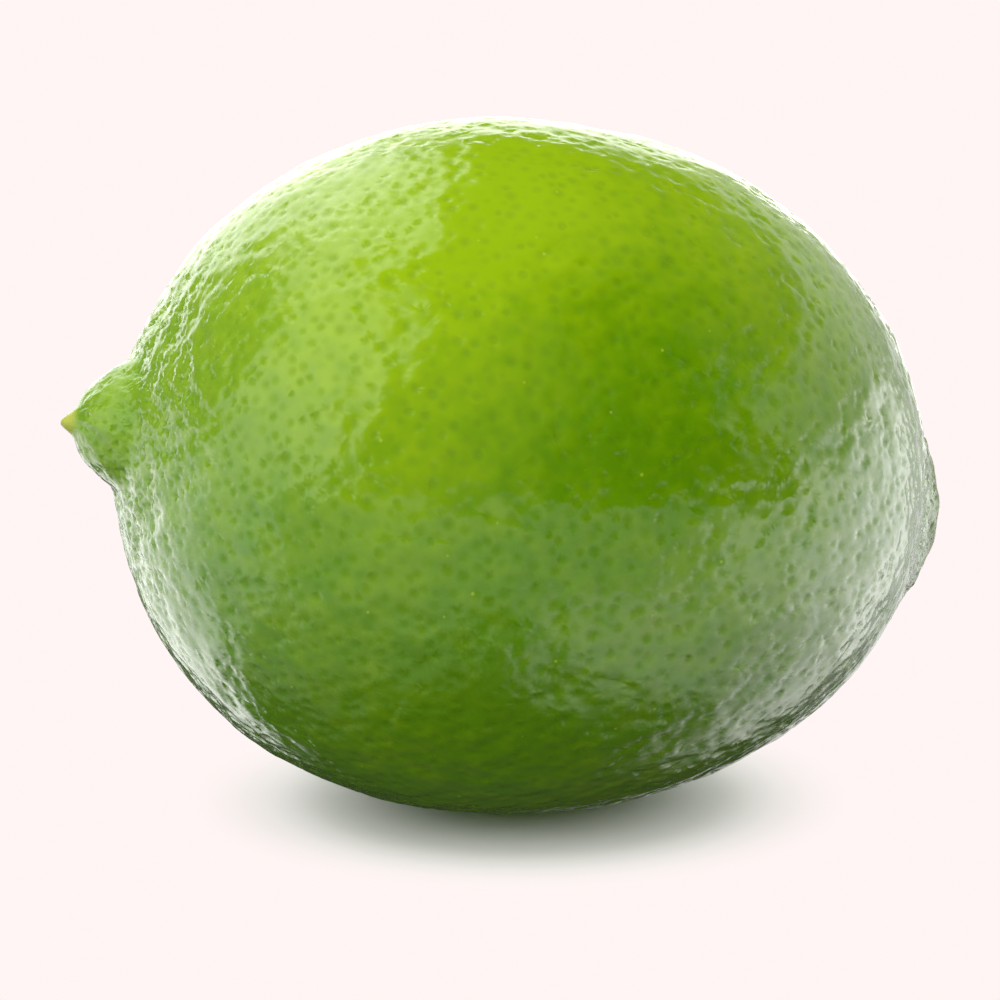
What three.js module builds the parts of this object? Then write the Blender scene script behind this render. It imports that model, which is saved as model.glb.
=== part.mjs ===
// A whole lime lying on its side: the pitted rind with its nipple and stem collar as one solid,
// and the dried calyx with its snapped stalk seated in the hollow of the stem end.
// Millimetres, +Z up, +X towards the stem end. The origin is the middle of the flat spot it rests on.

import * as THREE from "three";
import { ConvexHull } from "three/addons/math/ConvexHull.js";
import { mergeVertices } from "three/addons/utils/BufferGeometryUtils.js";

// The body, a full ellipsoid: from its widest section to either end, and round the girth.
const styleReach = 29.1;
const stemReach = 30.5;
const girthRadius = 25.44;
const shoulderFullness = 0.015; // share of the radius that fills both shoulders
const pearShape = 0.012; // share of the radius that the style half gains on the stem half
const endDroop = 0.56; // how far both ends sink below the middle of the girth
const styleLift = 0.1; // of that, what the style end keeps and the stem end loses
const lieAngle = THREE.MathUtils.degToRad(4.3); // the fruit lies with its nipple end raised

// The ends, each a little off the body's axis, as sines of an angle at the body's centre.
const nippleOffset = 0.098; // upwards
const stemOffset = -0.101; // downwards
const offsetReach = 0.45; // how far round the pole the even layout bends towards the end

// The nipple at the style end, its furrow and the dried tip of the style.
const nippleHeight = 3.62;
const nippleRadius = 4.66;
const nipplePower = 2.56;
const styleTipHeight = 1;
const styleTipRadius = 0.9;
const styleTipPower = 1.5;
const furrowDepth = 0.43;
const furrowRadius = 4.7;
const furrowWidth = 1.5;

// The raised collar round the stem end and the hollow in it that holds the calyx.
const collarHeight = 1.85;
const collarRadius = 6.8;
const collarPower = 4;
const hollowDepth = 1.4;
const hollowRadius = 2.4;
const creaseCount = 9;
const creaseDepth = 0.2;
const creaseRadius = 5.4;
const creaseWidth = 1.3;

// The oil-gland pits, larger and further apart than life.
const pitCount = 1800;
const pitDepth = 0.2;
const pitVariety = 0.35; // share by which a pit's depth differs from the next
const pitWander = 0.2; // share of their spacing by which the pits leave the even layout
const endCrowding = 0.25; // how much closer the pits stand at the two ends
const nippleSmoothRadius = 2.6;
const hollowSmoothRadius = 4;

// The flat spot underneath.
const flatDepth = 0.5;

// The calyx: five short lobes round the snapped stub of the stalk.
const calyxRadius = 2.5;
const calyxThickness = 0.55;
const calyxRim = 0.3;
const calyxGap = 0.35; // clear of the hollow's floor
const lobeCount = 5;
const lobeDepth = 0.16;
const stubRadius = 0.95;
const stubHeight = 0.75;

const rindMaterial = new THREE.MeshStandardMaterial({ color: 0x6f9a1e, roughness: 0.3, metalness: 0 });
const calyxMaterial = new THREE.MeshStandardMaterial({ color: 0x8f8a4a, roughness: 0.8, metalness: 0 });

// Repeatable random numbers from 0 to 1.
function seededRandom(seed) {
  let state = seed;
  return () => {
    state = (state * 1664525 + 1013904223) % 2 ** 32;
    return state / 2 ** 32;
  };
}

// A round bump or hollow that is 1 at its middle and fades out past its radius.
function bump(distance, radius, power) {
  return Math.exp(-((distance / radius) ** power));
}

// Distance from the body's axis at an angle from the style end, 0, to the stem end, PI.
function bodyRadius(angle) {
  const waves = Math.sin(angle) + shoulderFullness * Math.sin(3 * angle) + pearShape * Math.sin(2 * angle);
  return (girthRadius * waves) / (1 - shoulderFullness);
}

const nippleCentre = bodyRadius(Math.asin(nippleOffset));
const stemCentre = -bodyRadius(Math.PI + Math.asin(stemOffset));

// Along the axis, how far the nipple, its furrow and the style's tip stand out of the body.
function nippleRelief(distance) {
  return (
    nippleHeight * bump(distance, nippleRadius, nipplePower) +
    styleTipHeight * bump(distance, styleTipRadius, styleTipPower) -
    furrowDepth * bump(Math.abs(distance - furrowRadius), furrowWidth, 2)
  );
}

// Along the axis, how far the collar stands out, less its hollow and its creases.
function collarRelief(distance, aroundAngle) {
  const crease = (creaseDepth * (1 + Math.cos(creaseCount * aroundAngle))) / 2;
  return (
    collarHeight * bump(distance, collarRadius, collarPower) -
    hollowDepth * bump(distance, hollowRadius, 2) -
    crease * bump(Math.abs(distance - creaseRadius), creaseWidth, 2)
  );
}

// The point of the smooth fruit, before it is laid down, in a direction of the even layout.
function fruitPoint(direction) {
  const style = direction.x < 0;
  const fromAxis = Math.hypot(direction.y, direction.z);
  const shift = (style ? nippleOffset : stemOffset) * bump(fromAxis, offsetReach, 4);
  const sideways = direction.y;
  const upwards = direction.z + shift;
  const sine = Math.hypot(sideways, upwards);
  const angle = style ? Math.asin(Math.min(1, sine)) : Math.PI - Math.asin(Math.min(1, sine));
  const radius = bodyRadius(angle) / Math.max(sine, Number.EPSILON);
  const y = sideways * radius;
  const z = upwards * radius;
  const cosine = Math.cos(angle);
  const endDistance = Math.hypot(y, z - (style ? nippleCentre : stemCentre));
  const x = style
    ? -styleReach * cosine - nippleRelief(endDistance)
    : -stemReach * cosine + collarRelief(endDistance, Math.atan2(y, z - stemCentre));
  const droop = -endDroop * cosine ** 2 + styleLift * cosine ** 3;
  return new THREE.Vector3(x, y, z + droop);
}

// Turns the fruit to the way it lies.
function laidDown(point) {
  return point.applyAxisAngle(new THREE.Vector3(0, 1, 0), lieAngle);
}

// The lowest point of the smooth fruit as it lies, found along its underside.
function lowestPoint() {
  const steps = 2000;
  let lowest = null;
  for (let step = 1; step < steps; step++) {
    const angle = (Math.PI * step) / steps;
    const point = laidDown(fruitPoint(new THREE.Vector3(-Math.cos(angle), 0, -Math.sin(angle))));
    if (!lowest || point.z < lowest.z) lowest = point;
  }
  return lowest;
}

const underside = lowestPoint();
const restOffset = new THREE.Vector3(-underside.x, 0, -underside.z - flatDepth);

// Directions of the pit centres: a golden-angle spiral from pole to pole, a little disturbed.
function pitDirections() {
  const random = seededRandom(7);
  const goldenAngle = Math.PI * (3 - Math.sqrt(5));
  const spacing = Math.sqrt((4 * Math.PI) / pitCount);
  const directions = [];
  for (let i = 0; i < pitCount; i++) {
    const share = i / (pitCount - 1);
    const crowded = share - (endCrowding * Math.sin(2 * Math.PI * share)) / (2 * Math.PI);
    const x = 2 * crowded - 1;
    const around = i * goldenAngle;
    const ring = Math.sqrt(1 - Math.min(1, x * x));
    const direction = new THREE.Vector3(x, ring * Math.cos(around), ring * Math.sin(around));
    const onPole = i === 0 || i === pitCount - 1;
    const wander = new THREE.Vector3(random() - 0.5, random() - 0.5, random() - 0.5);
    if (!onPole) direction.addScaledVector(wander, 2 * pitWander * spacing).normalize();
    directions.push(direction);
  }
  return directions;
}

// The triangles between directions, each as its three direction objects.
function trianglesBetween(directions) {
  return new ConvexHull().setFromPoints(directions).faces.map((face) => [
    face.edge.prev.head().point,
    face.edge.head().point,
    face.edge.next.head().point,
  ]);
}

// The middle of each triangle of pits: a point of the rims between them.
function rimDirections(pits) {
  return trianglesBetween(pits).map(([a, b, c]) =>
    new THREE.Vector3().add(a).add(b).add(c).normalize(),
  );
}

// How deep the pits are at a point of the fruit: shallow on the nipple's top, none in the stem's hollow.
function pitShare(point) {
  const style = point.x < 0;
  const centre = style ? nippleCentre - endDroop + styleLift : stemCentre - endDroop - styleLift;
  const distance = Math.hypot(point.y, point.z - centre);
  return 1 - bump(distance, style ? nippleSmoothRadius : hollowSmoothRadius, 4);
}

// Each pit and rim direction with its point on the fruit as it lies.
function skinPoints(pits, rims) {
  const random = seededRandom(23);
  const places = new Map();
  for (const direction of [...pits, ...rims]) {
    const point = fruitPoint(direction);
    const isPit = places.size < pits.length;
    const depth = isPit ? pitDepth * (1 + pitVariety * (2 * random() - 1)) * pitShare(point) : 0;
    const placed = laidDown(point.addScaledVector(direction, -depth)).add(restOffset);
    placed.z = Math.max(placed.z, 0);
    places.set(direction, placed);
  }
  return places;
}

function geometryOf(triangles) {
  const geometry = new THREE.BufferGeometry().setFromPoints(triangles.flat());
  geometry.computeVertexNormals();
  return geometry;
}

function makeFruit() {
  const pits = pitDirections();
  const rims = rimDirections(pits);
  const places = skinPoints(pits, rims);
  const triangles = trianglesBetween([...pits, ...rims]).map((corners) =>
    corners.map((corner) => places.get(corner)),
  );
  const fruit = new THREE.Mesh(geometryOf(triangles), rindMaterial);
  fruit.name = "lime_fruit";
  return fruit;
}

// The calyx as a round profile, from the middle of its underside to the top of the stub.
function calyxProfile() {
  const top = calyxGap + calyxThickness;
  return [
    new THREE.Vector2(0, calyxGap),
    new THREE.Vector2(calyxRadius * 0.35, calyxGap),
    new THREE.Vector2(calyxRadius * 0.7, calyxGap),
    new THREE.Vector2(calyxRadius, calyxGap),
    new THREE.Vector2(calyxRadius, calyxGap + calyxRim),
    new THREE.Vector2(calyxRadius * 0.75, top),
    new THREE.Vector2(stubRadius * 1.2, top),
    new THREE.Vector2(stubRadius, top + stubHeight),
    new THREE.Vector2(0, top + stubHeight),
  ];
}

// Draws the round profile out into lobes and beds it in the hollow of the stem end.
function bedInHollow(turned) {
  const position = turned.getAttribute("position");
  const corner = new THREE.Vector3();
  const outwards = new THREE.Vector3(1, 0, 0);
  for (let i = 0; i < position.count; i++) {
    corner.fromBufferAttribute(position, i);
    const height = corner.y;
    const around = Math.atan2(corner.x, corner.z);
    const distance = Math.hypot(corner.x, corner.z);
    const lobe = 1 - lobeDepth * (distance / calyxRadius) ** 2 * (1 - Math.cos(lobeCount * around));
    const sine = (distance * lobe) / girthRadius;
    const direction = new THREE.Vector3(1, sine * Math.cos(around), sine * Math.sin(around)).normalize();
    const bedded = fruitPoint(direction).addScaledVector(outwards, height);
    laidDown(bedded).add(restOffset);
    position.setXYZ(i, bedded.x, bedded.y, bedded.z);
  }
  turned.computeVertexNormals();
  return turned;
}

function makeCalyx() {
  const turned = new THREE.LatheGeometry(calyxProfile(), lobeCount * 8);
  turned.deleteAttribute("normal");
  turned.deleteAttribute("uv");
  const calyx = new THREE.Mesh(bedInHollow(mergeVertices(turned)), calyxMaterial);
  calyx.name = "calyx_button";
  return calyx;
}

const lime = new THREE.Group();
lime.add(makeFruit(), makeCalyx());

export default lime;
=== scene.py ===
import math

import bmesh
import bpy
import numpy as np
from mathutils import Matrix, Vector, noise


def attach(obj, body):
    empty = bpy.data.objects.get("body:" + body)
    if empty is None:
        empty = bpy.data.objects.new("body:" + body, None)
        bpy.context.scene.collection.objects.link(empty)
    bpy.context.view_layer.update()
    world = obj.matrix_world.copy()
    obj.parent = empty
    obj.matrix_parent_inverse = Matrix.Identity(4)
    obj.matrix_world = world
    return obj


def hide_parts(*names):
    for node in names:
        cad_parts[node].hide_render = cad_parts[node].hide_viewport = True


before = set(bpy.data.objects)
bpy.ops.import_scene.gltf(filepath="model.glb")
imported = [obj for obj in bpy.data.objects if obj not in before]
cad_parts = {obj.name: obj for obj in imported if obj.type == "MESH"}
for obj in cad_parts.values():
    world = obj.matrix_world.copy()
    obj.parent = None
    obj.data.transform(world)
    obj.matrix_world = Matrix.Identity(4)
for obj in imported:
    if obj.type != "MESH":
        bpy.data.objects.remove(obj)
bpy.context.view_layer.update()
mm = 0.001  # sizes below are in millimetres, Blender's own are in metres


# Small helpers

def hexColour(code):
    # an sRGB hex colour as linear RGBA
    channels = [int(code[i:i + 2], 16) / 255 for i in (1, 3, 5)]
    linear = [c / 12.92 if c <= 0.04045 else ((c + 0.055) / 1.055) ** 2.4 for c in channels]
    return (*linear, 1.0)


def addNode(tree, kind, settings=None, inputs=None):
    # one shader node with its settings and its inputs, each a plain value or another node's output
    node = tree.nodes.new("ShaderNode" + kind)
    for name, value in (settings or {}).items():
        setattr(node, name, value)
    for socket, value in (inputs or {}).items():
        if isinstance(value, bpy.types.NodeSocket):
            tree.links.new(value, node.inputs[socket])
        else:
            node.inputs[socket].default_value = value
    return node


def newMaterial(name):
    material = bpy.data.materials.new(name)
    material.use_nodes = True
    material.node_tree.nodes.clear()
    return material, material.node_tree


def finishMaterial(tree, shader):
    addNode(tree, "OutputMaterial", None, {"Surface": shader.outputs[0]})


def meshPiece(name, points, faces, material):
    # a smooth mesh from points in millimetres
    mesh = bpy.data.meshes.new(name)
    mesh.from_pydata((points * mm).tolist(), [], faces.tolist())
    mesh.polygons.foreach_set("use_smooth", np.ones(len(faces), bool))
    mesh.update()
    piece = bpy.data.objects.new(name, mesh)
    bpy.context.scene.collection.objects.link(piece)
    piece.data.materials.append(material)
    return piece


def addMask(piece, name, domain, values):
    # numbers or vectors on a piece's points or face corners, for its material
    isVector = np.ndim(values) > 1
    attribute = piece.data.attributes.new(name, "FLOAT_VECTOR" if isVector else "FLOAT", domain)
    attribute.data.foreach_set("vector" if isVector else "value", np.asarray(values, np.float32).ravel())


def bump(distance, radius, power):
    # 1 in the middle, fading out past the radius
    return np.exp(-((distance / radius) ** power))


# The fruit's form, the same as in the CAD but for a slimmer style tip

fruit = {
    "styleReach": 29.1,  # widest section to either end
    "stemReach": 30.5,
    "girthRadius": 25.44,
    "shoulderFullness": 0.015,
    "pearShape": 0.012,
    "endDroop": 0.56,
    "styleLift": 0.1,
    "lieAngle": 4.3,  # degrees, nipple end raised
    "nippleOffset": 0.098,  # sines of the angles by which the two ends stand off the axis
    "stemOffset": -0.101,
    "offsetReach": 0.45,
    "nippleHeight": 3.62,
    "nippleRadius": 4.66,
    "nipplePower": 2.56,
    "styleTipHeight": 1.0,
    "styleTipRadius": 0.72,
    "styleTipPower": 2.2,
    "furrowDepth": 0.43,
    "furrowRadius": 4.7,
    "furrowWidth": 1.5,
    "collarHeight": 1.85,
    "collarRadius": 6.8,
    "collarPower": 4,
    "hollowDepth": 1.4,
    "hollowRadius": 2.4,
    "creaseCount": 9,
    "creaseDepth": 0.2,
    "creaseRadius": 5.4,
    "creaseWidth": 1.3,
    "flatDepth": 0.5,
}


def bodyRadius(angle):
    # distance from the axis at an angle from the style end, 0, to the stem end, pi
    shoulders = fruit["shoulderFullness"] * np.sin(3 * angle)
    pear = fruit["pearShape"] * np.sin(2 * angle)
    return fruit["girthRadius"] * (np.sin(angle) + shoulders + pear) / (1 - fruit["shoulderFullness"])


nippleCentre = bodyRadius(math.asin(fruit["nippleOffset"]))
stemCentre = -bodyRadius(math.pi + math.asin(fruit["stemOffset"]))


def nippleRelief(distance):
    return (
        fruit["nippleHeight"] * bump(distance, fruit["nippleRadius"], fruit["nipplePower"])
        + fruit["styleTipHeight"] * bump(distance, fruit["styleTipRadius"], fruit["styleTipPower"])
        - fruit["furrowDepth"] * bump(np.abs(distance - fruit["furrowRadius"]), fruit["furrowWidth"], 2)
    )


def collarRelief(distance, around):
    crease = fruit["creaseDepth"] * (1 + np.cos(fruit["creaseCount"] * around)) / 2
    return (
        fruit["collarHeight"] * bump(distance, fruit["collarRadius"], fruit["collarPower"])
        - fruit["hollowDepth"] * bump(distance, fruit["hollowRadius"], 2)
        - crease * bump(np.abs(distance - fruit["creaseRadius"]), fruit["creaseWidth"], 2)
    )


def asGrown(directions):
    # points of the smooth fruit in directions of the even layout, and how far each is from its end's centre
    isStyle = directions[:, 0] < 0
    fromAxis = np.hypot(directions[:, 1], directions[:, 2])
    offset = np.where(isStyle, fruit["nippleOffset"], fruit["stemOffset"])
    sideways = directions[:, 1]
    upwards = directions[:, 2] + offset * bump(fromAxis, fruit["offsetReach"], 4)
    sine = np.hypot(sideways, upwards)
    angle = np.arcsin(np.minimum(sine, 1))
    angle = np.where(isStyle, angle, math.pi - angle)
    radius = bodyRadius(angle) / np.maximum(sine, 1e-12)
    y = sideways * radius
    z = upwards * radius
    cosine = np.cos(angle)
    endDistance = np.hypot(y, z - np.where(isStyle, nippleCentre, stemCentre))
    styleX = -fruit["styleReach"] * cosine - nippleRelief(endDistance)
    stemX = -fruit["stemReach"] * cosine + collarRelief(endDistance, np.arctan2(y, z - stemCentre))
    x = np.where(isStyle, styleX, stemX)
    droop = -fruit["endDroop"] * cosine ** 2 + fruit["styleLift"] * cosine ** 3
    return np.stack([x, y, z + droop], 1), endDistance


def laidDown(points):
    # turned to the way the fruit lies
    tilt = math.radians(fruit["lieAngle"])
    x = points[:, 0] * math.cos(tilt) + points[:, 2] * math.sin(tilt)
    z = -points[:, 0] * math.sin(tilt) + points[:, 2] * math.cos(tilt)
    return np.stack([x, points[:, 1], z], 1)


def restOffset():
    # what moves the middle of the flat spot to the origin
    angle = np.linspace(0, math.pi, 2001)
    underside = np.stack([-np.cos(angle), np.zeros_like(angle), -np.sin(angle)], 1)
    line = laidDown(asGrown(underside)[0])
    lowest = line[line[:, 2].argmin()]
    return np.array([-lowest[0], 0, -lowest[2] - fruit["flatDepth"]])


atRest = restOffset()


# Rind: one skin with a dimple at each pore

rind = {
    "poreCount": 8300,  # about 1.1 to 1.25 mm apart; the few that end up inside the hull are left out
    "poreDepth": 0.058,
    "shallowest": 0.35,  # the depths of the shallowest and the deepest pores, as shares of that
    "deepest": 1.65,
    "poreRadius": 0.52,
    "poreRadiusVariety": 0.25,
    "dimpleWidth": 1.4,  # how much wider the dimple round each pore is
    "poreWander": 0.38,  # share of their spacing by which the pores leave the even layout
    "endCrowding": 0.33,  # how much denser the pores stand towards both ends, and again at the very ends
    "styleCrowding": 3.0,
    "stemCrowding": 2.6,
    "crowdReach": 0.04,
    "ruffle": 1.6,  # how much rougher the skin is round the foot of the nipple
    "ruffleRadius": 8.0,
    "ruffleWidth": 4.2,
    "collarRuffle": 1.6,  # the same on the side of the collar
    "collarRuffleRadius": 6.6,
    "collarRuffleWidth": 2.2,
    "nippleSmoothRadius": 1.4,
    "hollowSmoothRadius": 4.0,
    "wrinkleCount": 11,  # faint ridges that run down the nipple
    "wrinkleHeight": 0.055,
    "wrinkleRadius": 2.4,
    "wrinkleWidth": 1.4,
    "wrinkleBend": 0.35,  # how far they stray round the nipple, and over what length
    "wrinkleBendLength": 2.4,
    "grooveRadius": 4.9,  # the narrow groove round the nipple's base
    "grooveDepth": 0.2,
    "grooveWidth": 0.7,
    "swellHeight": 0.088,  # soft unevenness of the skin in three wavelengths
    "swellLength": 1.7,
    "foldHeight": 0.1,
    "foldLength": 4.6,
    "lumpHeight": 0.18,
    "lumpLength": 14.0,
    "styleTipReach": 0.95,  # how far the style tip's and the collar's own skin reach
    "collarReach": 6.4,
    "cheeks": (  # greener and paler patches: middle, as the fruit grew, radius, and how much paler
        (2.8, -23.5, 9.3, 9.0, -0.42),
        (-15.8, -20.7, 6.0, 9.0, 0.2),
        (-6.2, -13.3, 21.3, 8.5, 0.4),
    ),
    # the base green, and the paler yellow-green of the painted light on the top and of the paler patches
    "baseGreenColour": "#639600",
    "litTopAndPatchColour": "#98bc00",
    "poreColour": "#4a7400",
    "speckColour": "#b4cf3c",
    "collarPitColour": "#46541f",
    "collarColour": "#76893c",
    "styleTipColour": "#b9c052",
    "paintedLightFrom": 14,  # painted light from above: the heights between which the colour turns paler and yellower upwards, and how pale the top gets
    "paintedLightTo": 50,
    "paintedLightMost": 0.74,
    "patchLength": 22,  # lengths of the broad patches, the mottling and the grain of the skin
    "mottleLength": 1.6,
    "grainLength": 0.35,
    "grainHeight": 0.02,
    "poreShade": 0.17,  # how strongly a pore of full depth takes the pores' colour: their own darker green, and painted shade in the dimple
    "poreBump": 0.008,
    "speckSpacing": 2.6,
    "collarPitSpacing": 0.9,
    "collarPitDepth": 0.19,
    "waxRoughness": 0.15,  # roughness and specular level of clean wax, then where pores and ends are dull
    "dullRoughness": 0.31,
    "waxLevel": 0.5,
    "dullLevel": 0.17,
    "seed": 7,
}


def poreDirections():
    # A golden-angle spiral from pole to pole, closer at both ends and a little disturbed. Gives the
    # directions, and how much denser the pores stand at each than in the middle.
    count = rind["poreCount"]
    random = np.random.default_rng(rind["seed"])
    steps = np.linspace(-1, 1, 20001)
    density = (
        1 + rind["endCrowding"] * steps ** 2
        + rind["styleCrowding"] * bump(1 + steps, rind["crowdReach"], 1)
        + rind["stemCrowding"] * bump(1 - steps, rind["crowdReach"], 1)
    )
    passed = np.cumsum(density)
    x = np.interp(np.linspace(passed[0], passed[-1], count), passed, steps)
    denser = np.interp(x, steps, density)
    around = np.arange(count) * math.pi * (3 - math.sqrt(5))
    ring = np.sqrt(np.maximum(0, 1 - x * x))
    directions = np.stack([x, ring * np.cos(around), ring * np.sin(around)], 1)
    spacing = np.sqrt(4 * math.pi / count / denser)
    wander = (random.random((count, 3)) - 0.5) * 2 * rind["poreWander"] * spacing[:, None]
    wander[[0, -1]] = 0
    return unit(directions + wander), denser


def unit(vectors):
    return vectors / np.linalg.norm(vectors, axis=1, keepdims=True)


def trianglesBetween(directions):
    # the triangles of the directions' convex hull, as rows of three indices, facing out
    work = bmesh.new()
    corners = [work.verts.new(direction) for direction in directions]
    work.verts.index_update()
    bmesh.ops.convex_hull(work, input=corners)
    triangles = np.array([[corner.index for corner in face.verts] for face in work.faces])
    work.free()
    a, b, c = (directions[triangles[:, i]] for i in range(3))
    facesIn = np.einsum("ij,ij->i", np.cross(b - a, c - a), a + b + c) < 0
    triangles[facesIn] = triangles[facesIn][:, ::-1]
    return triangles


def rindLayout():
    # Each triangle of three pores in twelve, by the midpoints of its sides, its middle and a ring point near
    # each pore. Gives the directions, each one's nearest pore, the faces, each face's pore, and how much
    # denser the pores stand.
    pores, denser = poreDirections()
    onHull, triangles = np.unique(trianglesBetween(pores), return_inverse=True)
    triangles = triangles.reshape(-1, 3)
    pores, denser = pores[onHull], denser[onHull]
    count = len(pores)
    sides = np.stack([triangles, np.roll(triangles, -1, 1)], 2).reshape(-1, 2)
    edges, sideIndex = np.unique(np.sort(sides, 1), axis=0, return_inverse=True)
    edgePoints = unit(pores[edges[:, 0]] + pores[edges[:, 1]])
    middles = unit(pores[triangles].sum(1))
    rings = unit((pores[triangles] + middles[:, None]).reshape(-1, 3))
    directions = np.concatenate([pores, edgePoints, middles, rings])
    nearestPore = np.concatenate([np.arange(count), edges[:, 0], triangles[:, 0], triangles.ravel()])
    a, b, c = triangles.T
    ab, bc, ca = (count + sideIndex.reshape(-1, 3)).T
    m = count + len(edges) + np.arange(len(triangles))
    ra, rb, rc = (count + len(edges) + len(triangles) + np.arange(3 * len(triangles)).reshape(-1, 3)).T
    faces = [
        (a, ab, ra), (a, ra, ca), (b, bc, rb), (b, rb, ab), (c, ca, rc), (c, rc, bc),
        (ra, ab, m), (ab, rb, m), (rb, bc, m), (bc, rc, m), (rc, ca, m), (ca, ra, m),
    ]
    owners = [a, a, b, b, c, c, a, b, b, c, c, a]
    faces = np.concatenate([np.stack(face, 1) for face in faces])
    return directions, nearestPore, faces, np.concatenate(owners), denser


def normalsOf(points, faces):
    corners = points[faces]
    across = np.cross(corners[:, 1] - corners[:, 0], corners[:, 2] - corners[:, 0])
    normals = np.zeros_like(points)
    for i in range(3):
        np.add.at(normals, faces[:, i], across)
    return unit(normals)


def waves(points, length):
    return np.array([noise.noise(Vector(point / length)) for point in points])


def nippleSkin(points, endDistance):
    # faint ridges down the nipple, not quite straight, and the groove round its base
    around = np.arctan2(points[:, 1], points[:, 2] - nippleCentre)
    around += rind["wrinkleBend"] * waves(points, rind["wrinkleBendLength"])
    band = bump(np.abs(endDistance - rind["wrinkleRadius"]), rind["wrinkleWidth"], 2)
    ridges = rind["wrinkleHeight"] * np.cos(rind["wrinkleCount"] * around) * band
    groove = rind["grooveDepth"] * bump(np.abs(endDistance - rind["grooveRadius"]), rind["grooveWidth"], 2)
    return (ridges - groove) * (points[:, 0] < 0)


def poreShapes(share, denser):
    # how deep each pore is, as a share of the full depth, and how wide
    random = np.random.default_rng(rind["seed"] + 1)
    count = len(denser)
    depth = share[:count] * random.uniform(rind["shallowest"], rind["deepest"], count)
    radius = rind["poreRadius"] * (1 + rind["poreRadiusVariety"] * random.uniform(-1, 1, count))
    return depth, radius / np.sqrt(denser / denser.min())


def skinHeight(points, endDistance, share, dimple):
    # how far the skin stands out: lumps, folds and swells, less the pores, and rougher near both ends
    lumps = rind["lumpHeight"] * waves(points, rind["lumpLength"])
    folds = rind["foldHeight"] * waves(points, rind["foldLength"])
    swell = rind["swellHeight"] * waves(points, rind["swellLength"])
    footBand = bump(np.abs(endDistance - rind["ruffleRadius"]), rind["ruffleWidth"], 2)
    collarBand = bump(np.abs(endDistance - rind["collarRuffleRadius"]), rind["collarRuffleWidth"], 2)
    ruffle = 1 + np.where(points[:, 0] < 0, rind["ruffle"] * footBand, rind["collarRuffle"] * collarBand)
    rough = (swell * share - rind["poreDepth"] * dimple) * ruffle
    return (lumps + folds) * share + rough + nippleSkin(points, endDistance)


def makeRind(material):
    directions, nearestPore, faces, owners, denser = rindLayout()
    points, endDistance = asGrown(directions)
    isStyle = points[:, 0] < 0
    smoothRadius = np.where(isStyle, rind["nippleSmoothRadius"], rind["hollowSmoothRadius"])
    share = 1 - bump(endDistance, smoothRadius, 4)
    depth, radius = poreShapes(share, denser)
    gap = np.linalg.norm(points - points[nearestPore], axis=1) / (radius[nearestPore] * rind["dimpleWidth"])
    dimple = depth[nearestPore] * np.maximum(1 - gap ** 2, 0) ** 2
    height = skinHeight(points, endDistance, share, dimple)
    placed = laidDown(points + normalsOf(points, faces) * height[:, None]) + atRest
    placed[:, 2] = np.maximum(placed[:, 2], 0)
    piece = meshPiece("lime_rind", placed, faces, material)
    fromPore = (placed[faces] - placed[owners][:, None]) / radius[owners][:, None, None]
    addMask(piece, "fromPore", "CORNER", fromPore.reshape(-1, 3))
    addMask(piece, "poreDepth", "CORNER", np.repeat(depth[owners], 3))
    cheeks = [
        paler * bump(np.linalg.norm(points - np.array(middle), axis=1), reach, 3)
        for *middle, reach, paler in rind["cheeks"]
    ]
    addMask(piece, "cheeks", "POINT", sum(cheeks))
    addMask(piece, "styleTip", "POINT", np.where(isStyle, bump(endDistance, rind["styleTipReach"], 6), 0))
    addMask(piece, "collar", "POINT", np.where(isStyle, 0, bump(endDistance, rind["collarReach"], 6)))
    return piece


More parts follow.
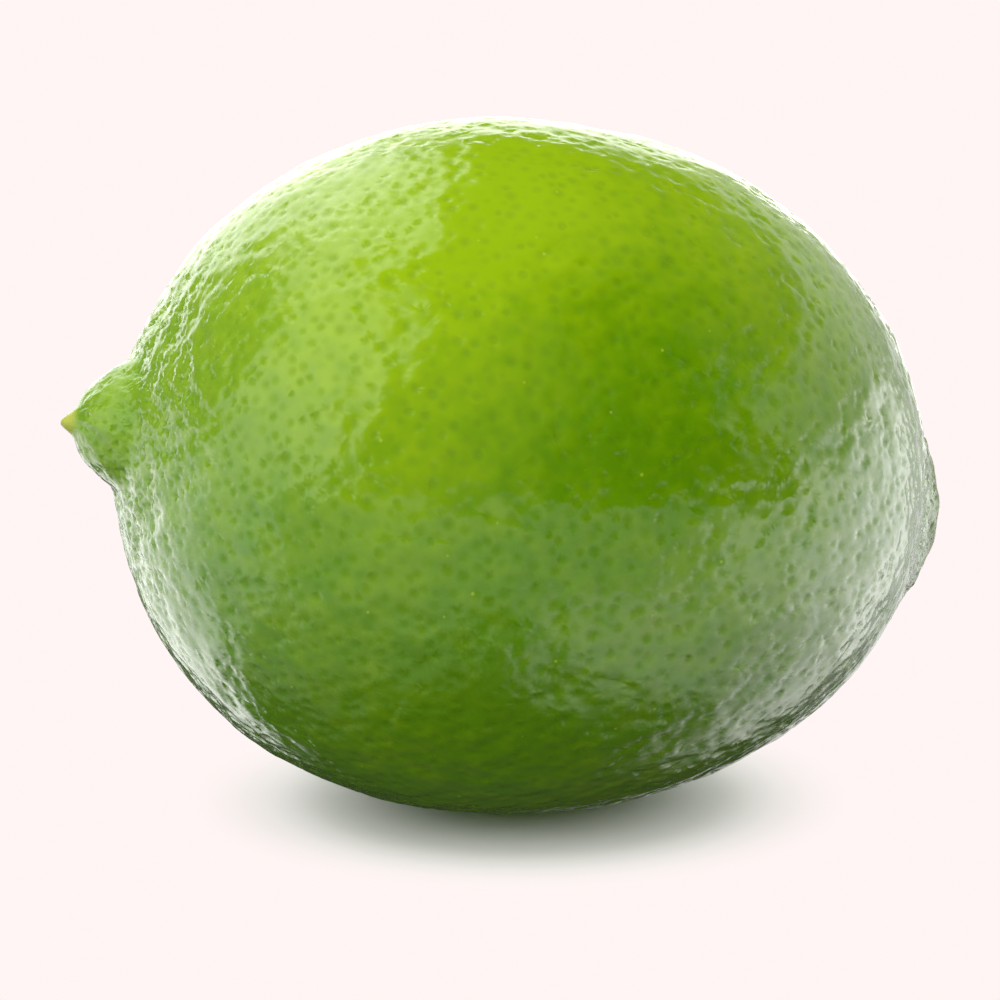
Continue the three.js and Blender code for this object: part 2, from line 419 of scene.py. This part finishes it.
def waxyRind():
    # Lime rind, grown: a thin waxy cuticle over green peel. The wax gives a clear gloss that each pore
    # breaks up, and the peel under it lets a little light through, so that the green looks deep.
    # A Mix node for colours takes them at 6 and 7 and gives the mix at 2.
    material, tree = newMaterial("waxyRind")
    place = addNode(tree, "TexCoord").outputs["Object"]
    fromPore = addNode(tree, "Attribute", {"attribute_name": "fromPore"}).outputs["Vector"]
    poreDepth, styleTip, collar, cheeks = (
        addNode(tree, "Attribute", {"attribute_name": name}).outputs["Fac"]
        for name in ("poreDepth", "styleTip", "collar", "cheeks")
    )
    square = addNode(tree, "VectorMath", {"operation": "DOT_PRODUCT"}, {0: fromPore, 1: fromPore})
    inside = addNode(
        tree, "Math", {"operation": "SUBTRACT", "use_clamp": True},
        {0: 1.0, 1: square.outputs["Value"]},
    )
    bowl = addNode(tree, "Math", {"operation": "POWER"}, {0: inside.outputs[0], 1: 1.6})
    pore = addNode(tree, "Math", {"operation": "MULTIPLY"}, {0: bowl.outputs[0], 1: poreDepth}).outputs[0]
    patches, mottle, grain = (
        addNode(tree, "TexNoise", None, {"Vector": place, "Scale": 1 / (rind[name] * mm), "Detail": detail})
        for name, detail in (("patchLength", 2.0), ("mottleLength", 1.5), ("grainLength", 2.0))
    )
    height = addNode(tree, "SeparateXYZ", None, {"Vector": place}).outputs["Z"]
    # painted light: the colour turns paler and yellower towards the top, where the light falls from above
    paintedTopLight = addNode(
        tree, "MapRange", {"interpolation_type": "SMOOTHSTEP"},
        {
            "Value": height, "From Min": rind["paintedLightFrom"] * mm, "From Max": rind["paintedLightTo"] * mm,
            "To Min": 0.0, "To Max": rind["paintedLightMost"],
        },
    )
    spread = addNode(
        tree, "MapRange", None,
        {"Value": patches.outputs["Fac"], "From Min": 0.35, "From Max": 0.65, "To Min": -0.1, "To Max": 0.2},
    )
    mottling = addNode(
        tree, "MapRange", None,
        {"Value": mottle.outputs["Fac"], "From Min": 0.3, "From Max": 0.7, "To Min": -0.16, "To Max": 0.16},
    )
    blotched = addNode(tree, "Math", {"operation": "ADD"}, {0: spread.outputs[0], 1: mottling.outputs[0]})
    uneven = addNode(tree, "Math", {"operation": "ADD"}, {0: cheeks, 1: blotched.outputs[0]})
    yellowing = addNode(
        tree, "Math", {"operation": "ADD", "use_clamp": True},
        {0: paintedTopLight.outputs[0], 1: uneven.outputs[0]},
    )
    green = addNode(
        tree, "Mix", {"data_type": "RGBA"},
        {0: yellowing.outputs[0], 6: hexColour(rind["baseGreenColour"]), 7: hexColour(rind["litTopAndPatchColour"])},
    )
    # the pores' own darker green, and painted shade: the deeper the dimple, the darker its middle
    poreShade = addNode(
        tree, "Math", {"operation": "MULTIPLY", "use_clamp": True},
        {0: pore, 1: rind["poreShade"]},
    )
    pitted = addNode(
        tree, "Mix", {"data_type": "RGBA"},
        {0: poreShade.outputs[0], 6: green.outputs[2], 7: hexColour(rind["poreColour"])},
    )
    specks = addNode(
        tree, "TexVoronoi", {"feature": "F1"},
        {"Vector": place, "Scale": 1 / (rind["speckSpacing"] * mm), "Randomness": 1.0},
    )
    speck = addNode(
        tree, "MapRange", None,
        {
            "Value": specks.outputs["Distance"], "From Min": 0.03, "From Max": 0.06,
            "To Min": 0.6, "To Max": 0.0,
        },
    )
    specked = addNode(
        tree, "Mix", {"data_type": "RGBA"},
        {0: speck.outputs[0], 6: pitted.outputs[2], 7: hexColour(rind["speckColour"])},
    )
    crowded = addNode(
        tree, "TexVoronoi", {"feature": "F1"},
        {"Vector": place, "Scale": 1 / (rind["collarPitSpacing"] * mm)},
    )
    betweenPits = addNode(
        tree, "MapRange", {"interpolation_type": "SMOOTHSTEP"},
        {"Value": crowded.outputs["Distance"], "From Min": 0.05, "From Max": 0.6},
    )
    collarSkin = addNode(
        tree, "Mix", {"data_type": "RGBA"},
        {
            0: betweenPits.outputs[0],
            6: hexColour(rind["collarPitColour"]),
            7: hexColour(rind["collarColour"]),
        },
    )
    collared = addNode(
        tree, "Mix", {"data_type": "RGBA"},
        {0: collar, 6: specked.outputs[2], 7: collarSkin.outputs[2]},
    )
    tipped = addNode(
        tree, "Mix", {"data_type": "RGBA"},
        {0: styleTip, 6: collared.outputs[2], 7: hexColour(rind["styleTipColour"])},
    )
    ends = addNode(tree, "Math", {"operation": "MAXIMUM"}, {0: collar, 1: styleTip})
    dullPore = addNode(tree, "Math", {"operation": "MULTIPLY"}, {0: pore, 1: 0.5})
    dullness = addNode(tree, "Math", {"operation": "MAXIMUM"}, {0: dullPore.outputs[0], 1: ends.outputs[0]})
    roughness = addNode(
        tree, "MapRange", None,
        {"Value": dullness.outputs[0], "To Min": rind["waxRoughness"], "To Max": rind["dullRoughness"]},
    )
    wax = addNode(
        tree, "MapRange", None,
        {"Value": dullness.outputs[0], "To Min": rind["waxLevel"], "To Max": rind["dullLevel"]},
    )
    poreBump = addNode(
        tree, "Bump", {"invert": True},
        {"Strength": 1.0, "Distance": rind["poreBump"] * mm, "Height": pore},
    )
    grainBump = addNode(
        tree, "Bump", None,
        {
            "Strength": 0.25, "Distance": rind["grainHeight"] * mm, "Height": grain.outputs["Fac"],
            "Normal": poreBump.outputs[0],
        },
    )
    collarPits = addNode(tree, "Math", {"operation": "MULTIPLY"}, {0: betweenPits.outputs[0], 1: collar})
    collarBump = addNode(
        tree, "Bump", None,
        {
            "Strength": 1.0, "Distance": rind["collarPitDepth"] * mm, "Height": collarPits.outputs[0],
            "Normal": grainBump.outputs[0],
        },
    )
    shader = addNode(
        tree, "BsdfPrincipled", {"subsurface_method": "RANDOM_WALK"},
        {
            "Base Color": tipped.outputs[2],
            "Roughness": roughness.outputs[0],
            "IOR": 1.45,
            "Specular IOR Level": wax.outputs[0],
            "Subsurface Weight": 0.12,
            "Subsurface Radius": (1.0, 1.0, 0.2),
            "Subsurface Scale": 1.2 * mm,
            "Normal": collarBump.outputs[0],
        },
    )
    finishMaterial(tree, shader)
    return material


limeRind = makeRind(waxyRind())
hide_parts("lime_fruit")
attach(limeRind, "root")
print("rind:", len(limeRind.data.vertices), "points,", len(limeRind.data.polygons), "faces")


# Calyx: five dried lobes round the snapped stub of the stalk

calyx = {
    "radius": 2.5,
    "thickness": 0.55,
    "rim": 0.3,
    "gap": 0.35,
    "lobeCount": 5,
    "lobeDepth": 0.16,
    "stubRadius": 0.95,
    "stubHeight": 0.75,
    "crinkle": 0.06,  # height and length of its unevenness
    "crinkleLength": 0.5,
    "witheredColour": "#74783a",
    "paleColour": "#aab05e",
    "streakLength": 0.6,
    "streakHeight": 0.08,
    "ringSteps": 60,
}


def calyxProfile():
    # distance from the middle and height, from the middle of the underside to the top of the stub
    top = calyx["gap"] + calyx["thickness"]
    under = [(calyx["radius"] * share, calyx["gap"]) for share in (0.0, 0.2, 0.4, 0.6, 0.8, 0.95)]
    edge = [
        (calyx["radius"], calyx["gap"] + calyx["rim"] * 0.5),
        (calyx["radius"] * 0.97, calyx["gap"] + calyx["rim"]),
        (calyx["radius"] * 0.85, top - 0.08),
        (calyx["radius"] * 0.7, top),
        (calyx["radius"] * 0.55, top - 0.06),
    ]
    stub = [
        (calyx["stubRadius"] * 1.15, top - 0.02),
        (calyx["stubRadius"], top + 0.15),
        (calyx["stubRadius"] * 0.95, top + calyx["stubHeight"] * 0.6),
        (calyx["stubRadius"] * 1.0, top + calyx["stubHeight"] - 0.08),
        (calyx["stubRadius"] * 0.85, top + calyx["stubHeight"]),
        (calyx["stubRadius"] * 0.5, top + calyx["stubHeight"] - 0.05),
        (0.0, top + calyx["stubHeight"] - 0.1),
    ]
    return np.array(under + edge + stub)


def makeCalyx(material):
    profile = calyxProfile()
    steps = calyx["ringSteps"]
    around = np.arange(steps) * 2 * math.pi / steps
    distance = profile[1:-1, 0][:, None]
    between = 1 - np.cos(calyx["lobeCount"] * around)
    lobe = 1 - calyx["lobeDepth"] * (distance / calyx["radius"]) ** 2 * between
    sine = distance * lobe / fruit["girthRadius"]
    ringRows = np.stack([np.ones_like(sine), sine * np.cos(around), sine * np.sin(around)], 2).reshape(-1, 3)
    poles = np.array([[1.0, 0, 0], [1.0, 0, 0]])
    directions = unit(np.concatenate([ringRows, poles]))
    heights = np.concatenate([np.repeat(profile[1:-1, 1], steps), profile[[0, -1], 1]])
    points = asGrown(directions)[0]
    crinkle = calyx["crinkle"] * waves(points, calyx["crinkleLength"])
    onTop = heights > calyx["gap"]
    points[:, 0] += heights + crinkle * onTop
    placed = laidDown(points) + atRest
    rows = len(profile) - 2
    faces = []
    for row in range(rows - 1):
        for step in range(steps):
            here = row * steps + step
            beside = row * steps + (step + 1) % steps
            faces.append((here, beside, beside + steps))
            faces.append((here, beside + steps, here + steps))
    under, top = rows * steps, rows * steps + 1
    for step in range(steps):
        beside = (step + 1) % steps
        faces.append((under, beside, step))
        faces.append((top, (rows - 1) * steps + step, (rows - 1) * steps + beside))
    return meshPiece("calyx", placed, np.array(faces), material)


def driedCalyx():
    # Dried calyx and stalk: woody plant tissue, withered on the fruit. It is matte and streaked.
    material, tree = newMaterial("driedCalyx")
    place = addNode(tree, "TexCoord").outputs["Object"]
    streaks = addNode(
        tree, "TexNoise", None,
        {"Vector": place, "Scale": 1 / (calyx["streakLength"] * mm), "Detail": 3.0},
    )
    colour = addNode(
        tree, "Mix", {"data_type": "RGBA"},
        {
            0: streaks.outputs["Fac"],
            6: hexColour(calyx["witheredColour"]),
            7: hexColour(calyx["paleColour"]),
        },
    )
    relief = addNode(
        tree, "Bump", None,
        {"Strength": 0.6, "Distance": calyx["streakHeight"] * mm, "Height": streaks.outputs["Fac"]},
    )
    shader = addNode(
        tree, "BsdfPrincipled", None,
        {"Base Color": colour.outputs[2], "Roughness": 0.8, "IOR": 1.45, "Normal": relief.outputs[0]},
    )
    finishMaterial(tree, shader)
    return material


limeCalyx = makeCalyx(driedCalyx())
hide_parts("calyx_button")
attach(limeCalyx, "root")
print("calyx:", len(limeCalyx.data.polygons), "faces")


# Studio: a pale table, a pale backdrop and far soft boxes

studio = {
    "reach": 3.0,  # metres from the fruit to the backdrop
    "paper": "#fff5f4",
    "tableColour": "#939390",
    "tableFleck": "#90908d",
    "fibreLength": 24.0,
    "tableGap": 0.02,  # by which the table is clear of the fruit
    "lightColour": "#fffefc",
    "openReach": 14.0,  # up to here the table is open paper, and by the second it is the backdrop's colour
    "blendReach": 25.0,
    "rest": 0.03,  # what the dark room between the boxes still sends
    "underLight": 0.2,  # what the table sends back to the fruit's matte underside, between two elevations
    "underTop": -45.0,
    "underShade": -64.0,
    "underSoftness": 20.0,
    "underRest": 0.05,
}

# Each box of light, seen in the gloss alone: azimuth from the camera's side, to the right positive, and
# elevation, both low and high in degrees, then how soft its sides, its bottom and its top are, and how
# bright it is.
boxes = {
    "windowLow": (-90, -37, 2, 30, 12, 5, 8, 2.65),
    "windowHigh": (-90, -28, 30, 64, 12, 8, 12, 2.3),
    "gap": (-140, -90, 6, 44, 8, 6, 8, 0.45),
    "overGap": (-142, -90, 44, 78, 8, 8, 12, 2.8),
    "underGap": (-140, -90, -6, 6, 8, 6, 6, 2.2),
    "windowBack": (-168, -134, -6, 64, 16, 6, 12, 2.9),
    "lowLeft": (-157, -98, -42, -6, 10, 12, 6, 3.0),
    "floorLeft": (-98, -60, -34, 2, 10, 16, 6, 2.35),
    "floorFront": (-60, 55, -37, -1, 10, 16, 6, 1.15),
    "floorDeepLeft": (-110, 0, -62, -34, 20, 24, 16, 0.7),
    "floorDeepRight": (20, 85, -62, -34, 20, 24, 16, 2.0),
    "floorRight": (55, 78, -34, -5, 10, 16, 6, 3.5),
    "lowRight": (78, 138, -34, 4, 10, 12, 14, 4.7),
    "lowRightDeep": (85, 146, -55, -34, 20, 24, 12, 2.7),
    "lowBehind": (138, 174, -28, 4, 14, 12, 14, 1.3),
    "underneath": (-200, 200, -90, -52, 1, 1, 24, 0.05),
    "right": (66, 142, 5, 28, 14, 10, 10, 1.5),
    "rightOver": (63, 142, 28, 46, 8, 10, 10, 0.2),
    "behind": (142, 164, 6, 30, 8, 6, 14, 1.0),
    "farBehind": (166, 194, -14, 26, 8, 6, 14, 2.4),
}

# Each soft lamp, which lights matte surfaces alone: azimuth and elevation, how wide it is, its strength,
# and whether it is for the fruit or for the table.
lamps = {
    "key": (-22, 30, 94, 2.92, "fruit"),
    "back": (174, 56, 90, 2.25, "fruit"),
    "tableLeft": (-90, 28, 60, 12.3, "table"),
    "tableFront": (-45, 28, 60, 2.4, "table"),
    "tableRight": (90, 28, 60, 10.4, "table"),
    "tableBack": (150, 28, 60, 6.4, "table"),
}
cameraAzimuth = -13.0
cameraElevation = 12.0


def softEdge(tree, value, middle, softness, low, high):
    # a smooth step from one number to another
    return addNode(
        tree, "MapRange", {"interpolation_type": "SMOOTHSTEP"},
        {
            "Value": value.outputs[0], "From Min": middle - softness / 2, "From Max": middle + softness / 2,
            "To Min": low, "To Max": high,
        },
    )


def boxLight(tree, azimuth, elevation):
    # the light of all the boxes together in one direction
    total = None
    for left, right, bottom, top, sideSoftness, bottomSoftness, topSoftness, radiance in boxes.values():
        half = math.radians(right - left) / 2
        middle = math.radians(right + left) / 2
        away = addNode(tree, "Math", {"operation": "SUBTRACT"}, {0: azimuth.outputs[0], 1: middle})
        wrapped = addNode(
            tree, "Math", {"operation": "WRAP"}, {0: away.outputs[0], 1: math.pi, 2: -math.pi},
        )
        side = addNode(tree, "Math", {"operation": "ABSOLUTE"}, {0: wrapped.outputs[0]})
        width = softEdge(tree, side, half, math.radians(sideSoftness), 1.0, 0.0)
        above = softEdge(tree, elevation, math.radians(bottom), math.radians(bottomSoftness), 0.0, 1.0)
        below = softEdge(tree, elevation, math.radians(top), math.radians(topSoftness), 1.0, 0.0)
        tall = addNode(tree, "Math", {"operation": "MULTIPLY"}, {0: above.outputs[0], 1: below.outputs[0]})
        shape = addNode(tree, "Math", {"operation": "MULTIPLY"}, {0: tall.outputs[0], 1: width.outputs[0]})
        rest = studio["rest"] if total is None else total.outputs[0]
        total = addNode(
            tree, "Math", {"operation": "MULTIPLY_ADD"}, {0: shape.outputs[0], 1: radiance, 2: rest},
        )
    return total


def lightFromBelow(tree, elevation):
    # the faint light that reaches matte surfaces from the table, strongest between two elevations
    softness = math.radians(studio["underSoftness"])
    top, shade = math.radians(studio["underTop"]), math.radians(studio["underShade"])
    notHigh = softEdge(tree, elevation, top, softness, studio["underLight"], studio["rest"])
    notLow = softEdge(tree, elevation, shade, softness, studio["underRest"], 1.0)
    return addNode(tree, "Math", {"operation": "MULTIPLY"}, {0: notHigh.outputs[0], 1: notLow.outputs[0]})


def studioLight():
    # the room round the fruit: the gloss sees the boxes, matte surfaces a faint light, mostly from below
    world = bpy.data.worlds.new("studio")
    bpy.context.scene.world = world
    world.use_nodes = True
    tree = world.node_tree
    tree.nodes.clear()
    way = addNode(tree, "TexCoord").outputs["Generated"]
    turned = addNode(
        tree, "VectorRotate", {"rotation_type": "Z_AXIS"},
        {"Vector": way, "Angle": math.radians(-cameraAzimuth)},
    )
    parts = addNode(tree, "SeparateXYZ", None, {"Vector": turned.outputs[0]})
    towards = addNode(tree, "Math", {"operation": "MULTIPLY"}, {0: parts.outputs["Y"], 1: -1.0})
    azimuth = addNode(tree, "Math", {"operation": "ARCTAN2"}, {0: parts.outputs["X"], 1: towards.outputs[0]})
    elevation = addNode(tree, "Math", {"operation": "ARCSINE"}, {0: parts.outputs["Z"]})
    total = boxLight(tree, azimuth, elevation)
    under = lightFromBelow(tree, elevation)
    colour = hexColour(studio["lightColour"])
    matte = addNode(tree, "Background", None, {"Color": colour, "Strength": under.outputs[0]})
    glossy = addNode(tree, "Background", None, {"Color": colour, "Strength": total.outputs[0]})
    ray = addNode(tree, "LightPath")
    background = addNode(
        tree, "MixShader", None,
        {0: ray.outputs["Is Glossy Ray"], 1: matte.outputs[0], 2: glossy.outputs[0]},
    )
    addNode(tree, "OutputWorld", None, {"Surface": background.outputs[0]})
    world.cycles.sampling_method = "NONE"  # each ray then finds its own branch


def wayTowards(side, height):
    # the direction at an azimuth from the camera's side and at an elevation, both in degrees
    azimuth, elevation = math.radians(cameraAzimuth + side), math.radians(height)
    return Vector((
        math.sin(azimuth) * math.cos(elevation),
        -math.cos(azimuth) * math.cos(elevation),
        math.sin(elevation),
    ))


def studioLamps(receivers):
    # broad soft lamps, flagged off from the gloss, each linked to the pieces that it is for
    for name, (side, height, width, strength, receiver) in lamps.items():
        data = bpy.data.lights.new("lamp_" + name, "SUN")
        data.energy = strength
        data.angle = math.radians(width)
        lamp = bpy.data.objects.new("lamp_" + name, data)
        lamp.visible_glossy = False
        lamp.rotation_euler = wayTowards(side, height).to_track_quat("Z", "Y").to_euler()
        linked = bpy.data.collections.new("lit_by_" + name)
        for piece in receivers[receiver]:
            linked.objects.link(piece)
        lamp.light_linking.receiver_collection = linked
        bpy.context.scene.collection.objects.link(lamp)


def stagePiece(name, work, material, hiddenFrom, height=0.0):
    # a part of the studio from a bmesh, which some kinds of ray pass through
    mesh = bpy.data.meshes.new(name)
    work.to_mesh(mesh)
    work.free()
    piece = bpy.data.objects.new(name, mesh)
    piece.location.z = height * mm
    piece.data.materials.append(material)
    for ray in hiddenFrom:
        setattr(piece, "visible_" + ray, False)
    bpy.context.scene.collection.objects.link(piece)
    return piece


def studioTable():
    # Matte paper: it sends the light back evenly, so only the fruit's soft shadow shows on it. Away from the
    # fruit it blends into the backdrop. The world lights the fruit from below in its place.
    material, tree = newMaterial("studioPaper")
    # its default coordinates run from 0 to 1 across the table
    fibre = addNode(
        tree, "TexNoise", None,
        {"Scale": 2 * studio["reach"] / (studio["fibreLength"] * mm), "Detail": 2.0},
    )
    tint = addNode(
        tree, "Mix", {"data_type": "RGBA"},
        {0: fibre.outputs["Fac"], 6: hexColour(studio["tableColour"]), 7: hexColour(studio["tableFleck"])},
    )
    paper = addNode(tree, "BsdfDiffuse", None, {"Color": tint.outputs[2]})
    away = addNode(tree, "Emission", None, {"Color": hexColour(studio["paper"])})
    place = addNode(tree, "TexCoord").outputs["Object"]
    distance = addNode(tree, "VectorMath", {"operation": "LENGTH"}, {0: place}).outputs["Value"]
    blend = addNode(
        tree, "MapRange", {"interpolation_type": "SMOOTHSTEP"},
        {"Value": distance, "From Min": studio["openReach"] * mm, "From Max": studio["blendReach"] * mm},
    )
    shader = addNode(tree, "MixShader", None, {0: blend.outputs[0], 1: paper.outputs[0], 2: away.outputs[0]})
    finishMaterial(tree, shader)
    work = bmesh.new()
    bmesh.ops.create_circle(work, cap_ends=True, radius=studio["reach"], segments=96)
    hiddenFrom = ("diffuse", "glossy", "transmission", "shadow")
    return stagePiece("studio_table", work, material, hiddenFrom, -studio["tableGap"])


def studioBackdrop():
    # A pale dome that only the camera sees, so that it adds no light of its own.
    material, tree = newMaterial("studioBackdrop")
    finishMaterial(tree, addNode(tree, "Emission", None, {"Color": hexColour(studio["paper"])}))
    work = bmesh.new()
    bmesh.ops.create_uvsphere(work, u_segments=64, v_segments=32, radius=studio["reach"])
    hiddenFrom = ("diffuse", "glossy", "transmission", "volume_scatter", "shadow")
    stagePiece("studio_backdrop", work, material, hiddenFrom)


studioLight()
studioLamps({"fruit": [limeRind, limeCalyx], "table": [studioTable()]})
studioBackdrop()
print("studio: light, table and backdrop")


# Camera, at the photograph's viewing angle

view = {
    "lens": 150.0,
    "distance": 306.0,
    "aimRight": -1.08,  # where it aims, from the fruit's own middle
    "aimUp": -2.52,
}


def makeCamera():
    data = bpy.data.cameras.new("camera")
    data.lens = view["lens"]
    camera = bpy.data.objects.new("camera", data)
    bpy.context.scene.collection.objects.link(camera)
    azimuth = math.radians(cameraAzimuth)
    back = wayTowards(0, cameraElevation)
    right = Vector((math.cos(azimuth), math.sin(azimuth), 0))
    up = back.cross(right)
    middle = Vector(atRest)
    eye = middle + back * view["distance"]
    aim = middle + right * view["aimRight"] + up * view["aimUp"]
    camera.location = eye * mm
    camera.rotation_euler = (aim - eye).to_track_quat("-Z", "Y").to_euler()
    bpy.context.scene.camera = camera


makeCamera()
bpy.context.scene.view_settings.view_transform = "Standard"
